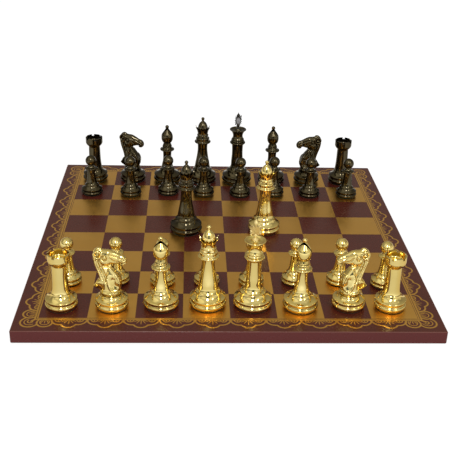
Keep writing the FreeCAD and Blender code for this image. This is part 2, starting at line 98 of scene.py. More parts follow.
class Shader:
    """The node tree of a new material or world, with short calls for the nodes that it needs."""

    def __init__(self, name, of_world=False):
        self.owner = (bpy.data.worlds if of_world else bpy.data.materials).new(name)
        self.owner.use_nodes = True
        self.tree = self.owner.node_tree
        self.tree.nodes.clear()
        self.place = self.node("ShaderNodeTexCoord").outputs["Generated" if of_world else "Object"]

    def node(self, kind, settings=None, **inputs):
        made = self.tree.nodes.new(kind)
        for key, value in (settings or {}).items():
            setattr(made, key, value)
        for key, value in inputs.items():
            self.feed(made.inputs[key.replace("_", " ")], value)
        return made

    def feed(self, socket, value):
        if isinstance(value, bpy.types.NodeSocket):
            self.tree.links.new(value, socket)
        else:
            socket.default_value = value

    def noise(self, scale, detail=3.0, roughness=0.5, place=None):
        made = self.node("ShaderNodeTexNoise", Scale=scale, Detail=detail, Roughness=roughness)
        self.feed(made.inputs["Vector"], place or self.place)
        return made.outputs["Fac"]

    def stretched(self, x, y, z):
        made = self.node("ShaderNodeMapping", Scale=(x, y, z))
        self.feed(made.inputs["Vector"], self.place)
        return made.outputs["Vector"]

    def axis(self, letter):
        return self.node("ShaderNodeSeparateXYZ", Vector=self.place).outputs[letter]

    def square_reach(self):
        """How far out from the middle, by the larger of x and y."""
        x, y = (self.math("ABSOLUTE", self.axis(letter), 0.0) for letter in "XY")
        return self.math("MAXIMUM", x, y)

    def spread(self, value, low, high, to_low=0.0, to_high=1.0, shape="LINEAR"):
        """The value, stretched from low..high to to_low..to_high and held there at its ends."""
        made = self.node("ShaderNodeMapRange", {"interpolation_type": shape})
        for key, number in zip(("Value", "From Min", "From Max", "To Min", "To Max"),
                               (value, low, high, to_low, to_high)):
            self.feed(made.inputs[key], number)
        return made.outputs["Result"]

    def mix(self, factor, a, b):
        """A colour: a where the factor is 0, b where it is 1."""
        made = self.node("ShaderNodeMix", {"data_type": "RGBA"})
        self.feed(made.inputs[0], factor)
        self.feed(made.inputs[6], a)
        self.feed(made.inputs[7], b)
        return made.outputs[2]

    def mix_surfaces(self, factor, a, b):
        """A surface: a where the factor is 0, b where it is 1."""
        made = self.node("ShaderNodeMixShader")
        for socket, value in zip(made.inputs, (factor, a, b)):
            self.feed(socket, value)
        return made.outputs[0]

    def math(self, operation, a, b):
        made = self.node("ShaderNodeMath", {"operation": operation})
        self.feed(made.inputs[0], a)
        self.feed(made.inputs[1], b)
        return made.outputs[0]

    def bump(self, height, distance, strength=1.0, normal=None):
        made = self.node("ShaderNodeBump", Height=height, Distance=distance, Strength=strength)
        if normal is not None:
            self.feed(made.inputs["Normal"], normal)
        return made.outputs["Normal"]

    def crevice(self, reach):
        """1 in the open, near 0 down in a narrow hollow: the mask of the painted shade in hollows."""
        made = self.node("ShaderNodeAmbientOcclusion", {"samples": 6, "only_local": True})
        made.inputs["Distance"].default_value = reach
        return made.outputs["AO"]

    def surface(self, **inputs):
        return self.node("ShaderNodeBsdfPrincipled", **inputs).outputs["BSDF"]

    def finish(self, surface):
        self.node("ShaderNodeOutputMaterial", Surface=surface)
        return self.owner


def polished_metal(name, bright, deep, edge, groove_shade, smooth, dull, metallic=1.0, reach=4.0 * MM,
                   shade=(0.22, 0.68), felt_below=None, heart=None):
    """Turned and polished metal: faint lathe rings, handling smears, painted shade in grooves and at its
    turned-away rim.

    The reach is how wide a hollow still gets painted shade. The shade is how open it is where the painted
    shade is darkest, and how open where it ends.
    The heart is x, half width, height and half height of a bright middle with a darker rim round it.
    """
    s = Shader(name)
    cloud = s.noise(45.0, 4.0)
    colour = s.mix(s.spread(cloud, 0.35, 0.65), bright, deep)
    # Painted shade: the rim that turns away from the view takes the darker edge colour.
    turned_away_shade = s.node("ShaderNodeLayerWeight", Blend=0.5).outputs["Facing"]
    colour = s.mix(s.spread(turned_away_shade, 0.15, 0.70), colour, edge)
    if heart:
        x, half_width, z, half_height = heart
        across = s.math("POWER", s.spread(s.axis("X"), x - half_width, x + half_width, -1, 1), 2)
        along = s.math("POWER", s.spread(s.axis("Z"), z - half_height, z + half_height, -1, 1), 2)
        colour = s.mix(s.spread(s.math("ADD", across, along), 0.35, 0.95), colour, edge)
    # Painted shade: grooves and slots take the groove colour, by how shut in they are.
    colour = s.mix(s.spread(s.crevice(reach), *shade), groove_shade, colour)
    smear = s.noise(160.0, 5.0, 0.65)
    roughness = s.spread(smear, 0.3, 0.75, smooth, dull)
    rings = s.noise(1.0, 2.0, 0.5, s.stretched(3.0, 3.0, LATHE_RINGS))
    normal = s.bump(rings, 0.004 * MM, 0.5)
    ripple = s.noise(210.0, 2.0)
    normal = s.bump(ripple, 0.06 * MM, 0.5, normal)
    metal = s.surface(Base_Color=colour, Metallic=metallic, Roughness=roughness, Normal=normal)
    if felt_below is None:
        return s.finish(metal)
    above = s.math("GREATER_THAN", s.axis("Z"), felt_below)
    return s.finish(s.mix_surfaces(above, felt_surface(s), metal))


def felt_surface(s):
    """Short dark green pile."""
    fibre = s.noise(2400.0, 4.0, 0.7)
    patch = s.noise(300.0, 3.0)
    colour = s.mix(fibre, *FELT_GREENS)
    colour = s.mix(s.spread(patch, 0.4, 0.7, 0.0, 0.5), colour, FELT_SHADE)
    made = s.node("ShaderNodeBsdfPrincipled", Base_Color=colour, Normal=s.bump(fibre, 0.2 * MM, 0.8),
                  Roughness=s.spread(fibre, 0.2, 0.8, 0.85, 1.0))
    made.inputs["Sheen Weight"].default_value = 0.4
    made.inputs["Specular IOR Level"].default_value = 0.2
    return made.outputs["BSDF"]


def felt():
    s = Shader("green_felt")
    return s.finish(felt_surface(s))


def grain(s):
    """Fine embossed leather grain: small cells with soft creases, and a finer texture on them."""
    cells = s.node("ShaderNodeTexVoronoi", {"feature": "SMOOTH_F1"}, Scale=1150.0, Vector=s.place)
    fine = s.noise(3800.0, 3.0, 0.6)
    return s.math("ADD", cells.outputs["Distance"], s.math("MULTIPLY", fine, 0.35))


def leatherette():
    """Glossy burgundy cover, and the black lining paper on the underside."""
    s = Shader("burgundy_leatherette")
    height = grain(s)
    cloud = s.noise(30.0, 5.0, 0.6)
    wine = s.mix(s.spread(cloud, 0.3, 0.7), *WINE_REDS)
    # Painted shade: the creases of the grain are darker.
    creases = s.spread(height, 0.15, 0.75)
    wine = s.mix(s.math("MULTIPLY", creases, 0.35), wine, CREASE_PAINTED_SHADE)
    facing = s.node("ShaderNodeSeparateXYZ", Vector=s.node("ShaderNodeNewGeometry").outputs["Normal"])
    up = facing.outputs["Z"]
    # Painted light: where the cover faces sideways it is a lighter wine.
    wine = s.mix(s.spread(up, 0.5, 0.1), wine, SIDE_PAINTED_LIGHT)
    # Painted highlight: a pale line along the rounded edges between the top and the sides.
    rounded_edge_highlight = s.math("MULTIPLY", s.spread(up, 0.25, 0.50), s.spread(up, 0.99, 0.93))
    wine = s.mix(s.math("MULTIPLY", rounded_edge_highlight, 0.30), wine, EDGE_PAINTED_HIGHLIGHT)
    rough = s.spread(s.noise(90.0, 4.0), 0.3, 0.7, 0.22, 0.30)
    normal = s.bump(height, 0.03 * MM, 0.4)
    cover = s.node("ShaderNodeBsdfPrincipled", Base_Color=wine, Roughness=rough, Normal=normal)
    cover.inputs["IOR"].default_value = 1.38
    fibres = s.noise(900.0, 5.0, 0.7)
    paper = s.surface(Base_Color=s.mix(fibres, *LINING_GREYS), Roughness=s.spread(fibres, 0.3, 0.7, 0.7, 0.9),
                      Normal=s.bump(fibres, 0.05 * MM, 0.6))
    inside = s.math("LESS_THAN", s.square_reach(), LINING_HALF)
    under = s.math("LESS_THAN", s.axis("Z"), LINING_TOP)
    return s.finish(s.mix_surfaces(s.math("MULTIPLY", inside, under), cover.outputs["BSDF"], paper))


def fibreboard():
    """Bare brown pressed fibres."""
    s = Shader("fibreboard")
    fibres = s.noise(700.0, 6.0, 0.7)
    rough = s.spread(fibres, 0.2, 0.8, 0.75, 0.95)
    normal = s.bump(fibres, 0.1 * MM, 0.6)
    return s.finish(s.surface(Base_Color=s.mix(fibres, *FIBRE_BROWNS), Roughness=rough, Normal=normal))


def gold_foil():
    """Hot-stamped gold: satin metal over the leather grain, with thin worn spots."""
    s = Shader("stamped_gold_foil")
    cloud = s.noise(26.0, 5.0, 0.6)
    colour = s.mix(s.spread(cloud, 0.3, 0.7), *FOIL_GOLDS)
    fleck = s.spread(s.noise(2600.0, 4.0, 0.7), 0.66, 0.80)
    colour = s.mix(s.math("MULTIPLY", fleck, 0.20), colour, FOIL_WORN)
    rough = s.spread(s.noise(120.0, 5.0, 0.6), 0.3, 0.7, 0.28, 0.38)
    normal = s.bump(grain(s), 0.022 * MM, 0.35)
    return s.finish(s.surface(Base_Color=colour, Metallic=1.0, Roughness=rough, Normal=normal))


def both_sides(name, gold, dark, **finish):
    """The gold and the dark metal of one finish."""
    return {"gold": polished_metal("gold_" + name, **gold, **finish),
            "dark": polished_metal("dark_" + name, **dark, **finish)}


# The dark king's cross has a bright middle.
cross_low, cross_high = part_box("dark_king_cross")
DARK_HEART = ((cross_low.x + cross_high.x) / 2, 3.3 * MM, cross_high.z - 13.6 * MM, 5.6 * MM)

METAL = both_sides("brass", GOLD, DARK, **POLISH)
# The bishops' gold paints near-black shade in the mitre's sawn slot, over a wider reach.
BISHOP_METAL = both_sides("brass_painted_slot_shade", dict(GOLD, groove_shade=SLOT_PAINTED_SHADE), DARK, **SAWN_SLOT_SHADE)
PAWN_METAL = both_sides("brass_on_felt", GOLD, DARK, felt_below=PAD_TOP, **POLISH)
FROSTED = both_sides("brass_frosted", GOLD_FROSTED, dict(DARK_FROSTED, heart=DARK_HEART), **FROST)
FELT = felt()
LEATHERETTE = leatherette()
FOIL = gold_foil()
FIBREBOARD = fibreboard()


def dress(thing, material):
    thing.data.materials.clear()
    thing.data.materials.append(material)


def node_material(name):
    """The finish of a CAD node, from its name."""
    if name == "board_cover":
        return LEATHERETTE
    if name == "board_panel":
        return FIBREBOARD
    if name.endswith("_pad"):
        return FELT
    side = name.split("_")[0]
    if "bishop" in name:
        return BISHOP_METAL[side]
    return (PAWN_METAL if "pawn" in name else METAL)[side]


for node_name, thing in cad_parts.items():
    dress(thing, node_material(node_name))


# ------------------------------------------------------------------- meshes

def new_piece(name, mesh_data, material, body):
    """A piece that rides on a body of the frame."""
    thing = bpy.data.objects.new(name, mesh_data)
    bpy.context.scene.collection.objects.link(thing)
    dress(thing, material)
    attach(thing, body)
    return thing


def mesh_from(name, bm):
    bmesh.ops.recalc_face_normals(bm, faces=bm.faces)
    data = bpy.data.meshes.new(name)
    bm.to_mesh(data)
    bm.free()
    return data


def closed_strip(bm, left, right, low, high):
    """A thin solid between two lines of points, from height low to height high."""
    rows = [[bm.verts.new((x, y, z)) for x, y in line]
            for line, z in ((left, low), (right, low), (right, high), (left, high))]
    count = len(left)
    for a, b in ((0, 1), (1, 2), (2, 3), (3, 0)):
        for i in range(count - 1):
            bm.faces.new((rows[a][i], rows[b][i], rows[b][i + 1], rows[a][i + 1]))
    for i in (0, count - 1):
        bm.faces.new([row[i] for row in rows])


# ------------------------------------------------------------- stamped gold

# Underside and tops of the foil. Strokes that cross differ by steps, so that no two of them end in one plane.
FOIL_BASE = BOARD_TOP - 0.030 * MM
FOIL_SQUARE = BOARD_TOP + 0.020 * MM
FOIL_RULE = BOARD_TOP + 0.050 * MM
FOIL_LINE = BOARD_TOP + 0.035 * MM
FOIL_FINE = BOARD_TOP + 0.025 * MM
FOIL_STEP = 0.002 * MM
RULE_INNER = (HALF_FIELD + 0.4 * MM, HALF_FIELD + 1.9 * MM)
RULE_OUTER = (HALF_FIELD + 2.5 * MM, HALF_FIELD + 4.4 * MM)
LACE_COUNT = 10
LACE_PITCH = 37.3 * MM
STROKE = 1.9 * MM
CURL_STROKE = 1.4 * MM
FINE_STROKE = 1.1 * MM
BAR = 1.2 * MM
FILES = 8


def arc(cx, cy, radius, start, end, steps):
    """Points of a round stretch, angles in degrees."""
    angles = [math.radians(start + (end - start) * i / steps) for i in range(steps + 1)]
    return [(cx + radius * math.cos(a), cy + radius * math.sin(a)) for a in angles]


def stroke(bm, points, width, high):
    """A flat line of even width along points, a little narrower at its ends."""
    left, right = [], []
    last = len(points) - 1
    for i, (x, y) in enumerate(points):
        ax, ay = points[max(i - 1, 0)]
        bx, by = points[min(i + 1, last)]
        length = math.hypot(bx - ax, by - ay)
        nx, ny = (ay - by) / length, (bx - ax) / length
        half = width / 2 * (0.75 if i in (0, last) else 1.0)
        left.append((x + nx * half, y + ny * half))
        right.append((x - nx * half, y - ny * half))
    closed_strip(bm, left, right, FOIL_BASE, high)


def petal(bm, x, y, length, width, lean, high):
    """A leaf-shaped fill: lean is its direction in degrees, from its root at x, y."""
    steps = 8
    along = (math.cos(math.radians(lean)), math.sin(math.radians(lean)))
    left, right = [], []
    for i in range(steps + 1):
        t = i / steps
        half = width / 2 * (0.15 + 0.85 * math.sin(math.pi * (0.12 + 0.76 * t)))
        px, py = x + along[0] * length * t, y + along[1] * length * t
        left.append((px - along[1] * half, py + along[0] * half))
        right.append((px + along[1] * half, py - along[0] * half))
    closed_strip(bm, left, right, FOIL_BASE, high)


def gold_squares():
    bm = bmesh.new()
    for file in range(FILES):
        for rank in range(FILES):
            if (file + rank) % 2 == 0:
                continue
            left, near = -HALF_FIELD + file * SQUARE, -HALF_FIELD + rank * SQUARE
            edge = [near + SQUARE * i / 4 for i in range(5)]
            closed_strip(bm, [(left, y) for y in edge], [(left + SQUARE, y) for y in edge],
                         FOIL_BASE, FOIL_SQUARE)
    return mesh_from("gold_squares", bm)


def frame_rules():
    """Two thin lines round the playing field, mitred at the corners."""
    bm = bmesh.new()
    for near, far in (RULE_INNER, RULE_OUTER):
        ring = ((-1, -1), (1, -1), (1, 1), (-1, 1), (-1, -1))
        for (ax, ay), (bx, by) in zip(ring, ring[1:]):
            closed_strip(bm, [(ax * near, ay * near), (bx * near, by * near)],
                         [(ax * far, ay * far), (bx * far, by * far)], FOIL_BASE, FOIL_RULE)
    return mesh_from("frame_rules", bm)


def scallop(bm, x, lift):
    """One three-lobed scallop. Here y grows outwards from the middle of the board."""
    shoulder_x, shoulder_y, shoulder_radius = 9.0 * MM, HALF_FIELD + 4.0 * MM, 9.4 * MM
    lobe_y, lobe_radius = HALF_FIELD + 10.8 * MM, 7.7 * MM
    bud_x, bud_radius, bud_length, bud_width = 11.2 * MM, 3.4 * MM, 2.4 * MM, 1.3 * MM
    root = HALF_FIELD + 4.2 * MM
    for hand, ends in ((-1, (184, 79)), (1, (-4, 101))):
        shoulder = arc(x + hand * shoulder_x, shoulder_y, shoulder_radius, *ends, 14)
        stroke(bm, shoulder, STROKE, FOIL_LINE + lift)
        bud = x + hand * bud_x
        stroke(bm, arc(bud, root, bud_radius, 0, 180, 12), CURL_STROKE, FOIL_FINE + lift)
        petal(bm, bud, root, bud_length, bud_width, 90, FOIL_FINE + lift)
    stroke(bm, arc(x, lobe_y, lobe_radius, 17, 163, 20), STROKE, FOIL_LINE + lift + 2 * FOIL_STEP)
    for k, lean in enumerate((-58, -29, 0, 29, 58)):
        length = (8.6 - 0.03 * abs(lean)) * MM
        high = FOIL_FINE + lift + (k % 2 + 1) * FOIL_STEP / 4
        petal(bm, x + 0.03 * MM * lean, root - 0.4 * MM, length, BAR, 90 - lean, high)


def small_lobe(bm, x):
    """The single round lobe beside each corner, with a loop and three bars inside it."""
    y = HALF_FIELD + 9.4 * MM
    rim_radius, loop_radius = 8.0 * MM, 4.9 * MM
    stroke(bm, arc(x, y, rim_radius, -42, 222, 26), STROKE, FOIL_LINE + 4 * FOIL_STEP)
    stroke(bm, arc(x, y - 0.8 * MM, loop_radius, -48, 228, 20), FINE_STROKE, FOIL_FINE + 3 * FOIL_STEP)
    for k, lean in enumerate((-24, 0, 24)):
        high = FOIL_FINE + (2 + k % 2 / 2) * FOIL_STEP
        petal(bm, x + 0.06 * MM * lean, y - 5.0 * MM, 6.6 * MM, BAR, 90 - lean, high)


def corner_lobe(bm):
    """The big lobe on the diagonal, with a hooked curl inside it. Here x and y both grow outwards."""
    middle = HALF_FIELD + 8.6 * MM
    rim_radius, inner_radius, curl_radius = 9.2 * MM, 5.6 * MM, 2.6 * MM
    stroke(bm, arc(middle, middle, rim_radius, -66, 156, 30), STROKE, FOIL_LINE + 5 * FOIL_STEP)
    inner = arc(middle - 0.4 * MM, middle - 0.4 * MM, inner_radius, -78, 140, 22)
    stroke(bm, inner, FINE_STROKE, FOIL_FINE + 3 * FOIL_STEP)
    curl = arc(middle - 0.8 * MM, middle - 1.2 * MM, curl_radius, -60, 200, 16)
    stroke(bm, curl, CURL_STROKE, FOIL_FINE + 2 * FOIL_STEP)
    leaf_root, leaf_length, leaf_width = HALF_FIELD + 2.6 * MM, 7.0 * MM, 2.6 * MM
    petal(bm, leaf_root, leaf_root, leaf_length, leaf_width, 45, FOIL_FINE)


def lace_side():
    """The lace of one side, with the small lobes at its ends and the corner lobe at its right."""
    bm = bmesh.new()
    for i in range(LACE_COUNT):
        scallop(bm, (i - (LACE_COUNT - 1) / 2) * LACE_PITCH, i % 2 * FOIL_STEP)
    small_lobe_x = LACE_COUNT / 2 * LACE_PITCH + 6.2 * MM
    small_lobe(bm, small_lobe_x)
    small_lobe(bm, -small_lobe_x)
    corner_lobe(bm)
    return mesh_from("lace", bm)


def turned_copy(data, name, degrees):
    copy = data.copy()
    copy.name = name
    copy.transform(Matrix.Rotation(math.radians(degrees), 4, "Z"))
    return copy


def stamped_gold():
    """The squares, the rules and the lace of the four sides."""
    new_piece("gold_squares", gold_squares(), FOIL, "board")
    new_piece("frame_rules", frame_rules(), FOIL, "board")
    side = lace_side()
    for k, name in enumerate(("back", "left", "front", "right")):
        data = turned_copy(side, "lace_" + name, 90 * k)
        new_piece("lace_" + name, data, FOIL, "board")


stamped_gold()


# -------------------------------------------------------------- horse heads

# A horse head in its own frame: x forward, y to its side, z up from the plinth, in millimetres.
NECK = [  # height, back, front, half width
    (-0.6, -11.4, 10.2, 10.4), (0.5, -11.9, 10.7, 10.9), (1.5, -11.3, 9.9, 9.9), (3.2, -11.0, 9.6, 8.6),
    (8.0, -11.2, 11.6, 8.0), (13.0, -11.4, 11.6, 7.5), (19.0, -12.0, 8.6, 6.7), (24.0, -13.0, 5.0, 5.9),
    (28.5, -14.0, 1.7, 5.1), (34.0, -15.2, 0.0, 4.8), (40.0, -15.6, -2.0, 4.6), (45.5, -14.8, -5.0, 3.8),
    (49.0, -12.8, -8.2, 2.2),
]
HEAD = [  # place forward, bottom, top, half width
    (-12.5, 38.5, 47.0, 3.4), (-9.5, 34.0, 48.6, 4.8), (-5.0, 31.4, 48.4, 5.4), (-1.0, 31.2, 48.3, 5.2),
    (3.0, 32.4, 47.0, 4.3), (7.0, 33.6, 45.0, 3.5), (10.5, 33.6, 43.2, 3.4), (13.5, 32.4, 42.4, 3.7),
    (15.8, 32.6, 40.4, 3.3), (17.2, 34.6, 38.2, 1.9),
]
MANE = [  # forward, up, half thickness across the strand, half width
    (-9.0, 49.0, 1.5, 1.5), (-12.4, 48.8, 2.0, 2.6), (-15.3, 45.6, 2.2, 3.2), (-16.2, 40.0, 2.2, 3.4),
    (-15.2, 33.5, 2.3, 3.6), (-13.0, 27.0, 2.4, 3.8), (-10.8, 21.0, 2.6, 4.4), (-9.4, 14.5, 2.6, 5.0),
    (-9.0, 8.0, 2.6, 5.0),
]
LOCK = [  # the inner lock of hair, on each side of the neck
    (-13.8, 38.0, 1.2, 1.2), (-12.9, 33.0, 1.8, 1.6), (-11.1, 28.5, 2.0, 1.7), (-9.3, 24.0, 1.8, 1.6),
    (-7.7, 19.5, 1.4, 1.4), (-6.5, 15.5, 0.7, 0.9),
]
LOCK_SIDE = 4.0
FIN = [  # the spur at the foot of the mane
    (-4.0, 8.4, 8.8, 6.0), (-6.5, 8.2, 8.6, 6.2), (-9.0, 7.8, 8.0, 5.8), (-11.5, 7.2, 6.8, 5.0),
    (-14.0, 6.4, 4.7, 4.0), (-16.5, 5.7, 2.4, 2.4), (-18.8, 5.2, 0.4, 0.7),
]
EAR_CENTRE = (-12.8, 43.8)
EAR_RADIUS = 3.9
EAR_SIDE = 4.1
EAR_SECTION = (1.15, 1.5)
SWELLS = [  # centre forward, to the side and up, then the three radii
    ((-5.0, 2.6, 36.2), (6.2, 3.2, 5.4)),  # cheek
    ((-5.4, 3.6, 43.8), (3.6, 1.7, 1.3)),  # brow
    ((-5.8, 4.4, 40.6), (1.6, 1.4, 1.5)),  # eye
    ((13.2, 2.5, 38.4), (2.1, 1.7, 1.7)),  # nostril
    ((15.0, 0.0, 36.6), (2.6, 3.1, 1.9)),  # upper lip
    ((12.4, 0.0, 32.8), (2.9, 2.6, 1.6)),  # lower lip
    ((4.6, 3.0, 12.0), (6.2, 4.4, 9.6)),  # chest
]
CUTS = [  # on both sides: width, depth (below zero it stands proud), and the points, forward and up
    (0.80, 2.0, [(17.6, 34.4), (14.2, 34.2), (10.6, 33.8), (8.0, 34.8)]),  # mouth
    (0.70, 1.3, [(13.0, 38.9), (14.6, 37.9)]),  # nostril
    (0.66, 1.5, [(-8.4, 40.6), (-7.6, 42.5), (-5.8, 43.2), (-4.0, 42.5), (-3.2, 40.6), (-4.0, 38.8),
                 (-5.8, 38.1), (-7.6, 38.8), (-8.4, 40.6)]),  # ring round the eye
    (0.90, 1.6, [(-11.2, 38.0), (-11.0, 34.6), (-9.0, 31.4), (-5.4, 29.8), (-1.0, 30.4), (2.2, 32.6)]),  # jaw
    (0.88, 0.9, [(0.4, 40.6), (3.0, 37.4), (6.0, 36.0), (8.6, 36.2)]),  # cheekbone
    (0.75, 1.0, [(-1.6, 44.6), (3.6, 42.6), (8.0, 40.6), (11.0, 39.2)]),  # edge of the nose
    (1.90, 2.1, [(-12.9, 43.4), (-12.6, 44.4)]),  # hollow of the ear
    (1.30, 2.2, [(-9.4, 29.5), (-7.3, 24.0), (-5.2, 18.5), (-4.2, 13.5)]),  # neck in front of the inner lock
    (0.80, 1.1, [(-15.0, 36.0), (-13.6, 30.0), (-11.2, 24.0), (-9.2, 18.6), (-8.0, 14.6)]),  # mane and lock
    (3.10, 1.7, [(3.6, 15.4), (4.5, 9.0)]),  # scoop on the chest
    (1.00, -1.2, [(0.4, 27.4), (5.4, 21.6), (8.8, 16.0), (9.4, 10.0), (7.2, 4.6), (3.2, 2.0)]),  # front rim
    (1.00, -1.2, [(-3.2, 16.8), (-1.6, 10.4), (0.4, 5.2), (3.2, 2.0)]),  # back rim
    (0.90, 1.2, [(-1.6, 27.0), (-2.4, 23.4), (-3.9, 19.8)]),  # fold on the neck
]
DEEPEST_CUT = 2.1
PROUDEST_RIM = 1.5
SIDE_GAIN = 1.6
SIDE_START = 0.25
HEAD_VOXEL = 0.36
PLINTH_LEVEL = 19.5 * MM
RING_POINTS = 28
THINNEST = 0.2


def oval(half_across, half_up, squareness):
    """Points round an oval: its two half sizes, and its squareness, which is 2 for a plain ellipse."""
    points = []
    for i in range(RING_POINTS):
        a = 2 * math.pi * i / RING_POINTS
        c, s = math.cos(a), math.sin(a)
        points.append((half_across * math.copysign(abs(c) ** (2 / squareness), c),
                       half_up * math.copysign(abs(s) ** (2 / squareness), s)))
    return points


def smooth_rows(rows, steps=6):
    """The rows with smooth rows between them (Catmull-Rom)."""
    rows = [np.array(row, float) for row in rows]
    rows = [2 * rows[0] - rows[1]] + rows + [2 * rows[-1] - rows[-2]]
    made = []
    for a, b, c, d in zip(rows, rows[1:], rows[2:], rows[3:]):
        for i in range(steps):
            t = i / steps
            made.append(0.5 * (2 * b + (c - a) * t + (2 * a - 5 * b + 4 * c - d) * t * t
                               + (3 * b - a - 3 * c + d) * t ** 3))
    return made + [rows[-2]]


def loft(bm, rings):
    """A closed skin over rings of points."""
    rings = [[bm.verts.new(point) for point in ring] for ring in rings]
    for low, high in zip(rings, rings[1:]):
        for i in range(RING_POINTS):
            j = (i + 1) % RING_POINTS
            bm.faces.new((low[i], low[j], high[j], high[i]))
    bm.faces.new(rings[0])
    bm.faces.new(rings[-1])


def strand(bm, rows, side=0.0, squareness=2.0):
    """A strand along a line in the plane of x and z, with an oval section."""
    rows = smooth_rows(rows)
    rings = []
    for i, (x, z, thick, wide) in enumerate(rows):
        ax, az = rows[max(i - 1, 0)][:2]
        bx, bz = rows[min(i + 1, len(rows) - 1)][:2]
        length = math.hypot(bx - ax, bz - az)
        nx, nz = (bz - az) / length, (ax - bx) / length
        rings.append([(x + nx * u, side + v, z + nz * u)
                      for u, v in oval(max(thick, THINNEST), max(wide, THINNEST), squareness)])
    loft(bm, rings)


def swell(bm, centre, radii):
    matrix = Matrix.Translation(centre) @ Matrix.Diagonal((*radii, 1.0))
    bmesh.ops.create_icosphere(bm, subdivisions=3, radius=1.0, matrix=matrix)


def horse_blank():
    """The head and neck before they are carved, as overlapping closed skins."""
    bm = bmesh.new()
    loft(bm, [[((back + front) / 2 + u, v, z) for u, v in oval((front - back) / 2, half, 2.2)]
              for z, back, front, half in smooth_rows(NECK)])
    loft(bm, [[(x, u, (low + high) / 2 + v) for u, v in oval(half, (high - low) / 2, 2.5)]
              for x, low, high, half in smooth_rows(HEAD)])
    strand(bm, MANE)
    strand(bm, FIN, squareness=3.2)
    ear = [(*point, *EAR_SECTION) for point in arc(*EAR_CENTRE, EAR_RADIUS, -200, 200, 16)]
    for hand in (-1, 1):
        strand(bm, LOCK, hand * LOCK_SIDE)
        strand(bm, ear, hand * EAR_SIDE)
        for (x, y, z), radii in SWELLS:
            swell(bm, (x, hand * y, z), radii)
    bmesh.ops.recalc_face_normals(bm, faces=bm.faces)
    return bm


def near_line(points, line):
    """How far each point of the plane is from a line of points."""
    nearest = np.full(len(points), 1e9)
    for a, b in zip(line, line[1:]):
        a, b = np.array(a), np.array(b)
        run = b - a
        t = np.clip(((points - a) @ run) / (run @ run), 0, 1)
        nearest = np.minimum(nearest, np.linalg.norm(points - a - t[:, None] * run, axis=1))
    return nearest


def carved(data):
    """Moves the skin at its cut lines: fully where it looks sideways, not at all where it looks ahead."""
    count = len(data.vertices)
    at = np.empty(count * 3)
    facing = np.empty(count * 3)
    data.vertices.foreach_get("co", at)
    data.vertices.foreach_get("normal", facing)
    at, facing = at.reshape(-1, 3), facing.reshape(-1, 3)
    plane = at[:, [0, 2]]
    sideways = np.clip(np.abs(facing[:, 1]) * SIDE_GAIN - SIDE_START, 0, 1)
    depth = np.zeros(count)
    for width, cut, line in CUTS:
        if len(line) > 2:
            line = smooth_rows(line, 5)
        depth += cut * np.exp(-(near_line(plane, line) / width) ** 2)
    at -= facing * (np.clip(depth, -PROUDEST_RIM, DEEPEST_CUT) * sideways)[:, None]
    data.vertices.foreach_set("co", at.ravel())


def horse_head():
    """The finished head as a mesh, in metres, standing on its plinth at the origin."""
    blank = mesh_from("horse_blank", horse_blank())
    thing = bpy.data.objects.new("horse_blank", blank)
    bpy.context.scene.collection.objects.link(thing)
    remesh = thing.modifiers.new("fuse", "REMESH")
    remesh.mode = "VOXEL"
    remesh.voxel_size = HEAD_VOXEL
    soften = thing.modifiers.new("soften", "SMOOTH")
    soften.factor = 0.5
    soften.iterations = 5
    shape = bpy.data.meshes.new_from_object(thing.evaluated_get(bpy.context.evaluated_depsgraph_get()))
    bpy.data.objects.remove(thing)
    carved(shape)
    shape.transform(Matrix.Diagonal((MM, MM, MM, 1.0)))
    for face in shape.polygons:
        face.use_smooth = True
    shape.name = "horse_head"
    return shape


# Which way each horse looks: degrees from the right hand side of the board, as in the photograph.
KNIGHT_TURNS = {"gold_knight_1": -4, "gold_knight_2": 186, "dark_knight_1": -20, "dark_knight_2": 184}


def knights():
    """A carved head on each knight's base, in place of its CAD head."""
    shape = horse_head()
    for man, degrees in KNIGHT_TURNS.items():
        low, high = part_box(man + "_base")
        data = shape.copy()
        data.transform(Matrix.Rotation(math.radians(degrees), 4, "Z"))
        data.transform(Matrix.Translation(((low.x + high.x) / 2, (low.y + high.y) / 2,
                                           BOARD_TOP + PLINTH_LEVEL)))
        side = man.split("_")[0]
        piece = new_piece(man + "_horse", data, METAL[side], man)
        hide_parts(man + "_head")


knights()


# ------------------------------------------------------------ king's crosses

CROSS_HEIGHT = 26.0 * MM
# The values below are in millimetres, and heights are above the crown.
CROSS_PLATES = {  # foot, top, half width, height of the small pyramids, squareness
    "gold": (6.4, 16.2, 4.8, 0.40, 9),
    "dark": (6.6, 19.0, 3.9, 0.15, 3.6),
}
CROSS_CELLS = 11  # an odd number, so that no corner of a cell is at the middle
CROSS_TOOTH = 1.25
PLATE_RIM = 0.9
PLATE_MIDDLE = 1.9
PLATE_FALL = 0.4
CROSS_STEM = [  # radius and height, from the crown up into the plate
    (0.0, -0.4), (3.0, -0.4), (3.3, 0.3), (2.9, 1.0), (1.9, 1.5), (1.5, 2.2), (1.5, 3.2), (2.0, 4.4),
    (2.6, 5.8), (1.4, 7.6), (0.0, 8.2),
]
CROSS_FINIAL = [  # radius and height, from inside the plate to the tip
    (0.0, 15.0), (1.5, 15.6), (1.2, 17.4), (1.9, 18.2), (2.25, 19.4), (2.0, 20.7), (1.2, 21.7), (0.6, 22.3),
    (0.5, 23.2), (0.25, 23.9), (0.0, 24.0),
]
TURNED_POINTS = 32


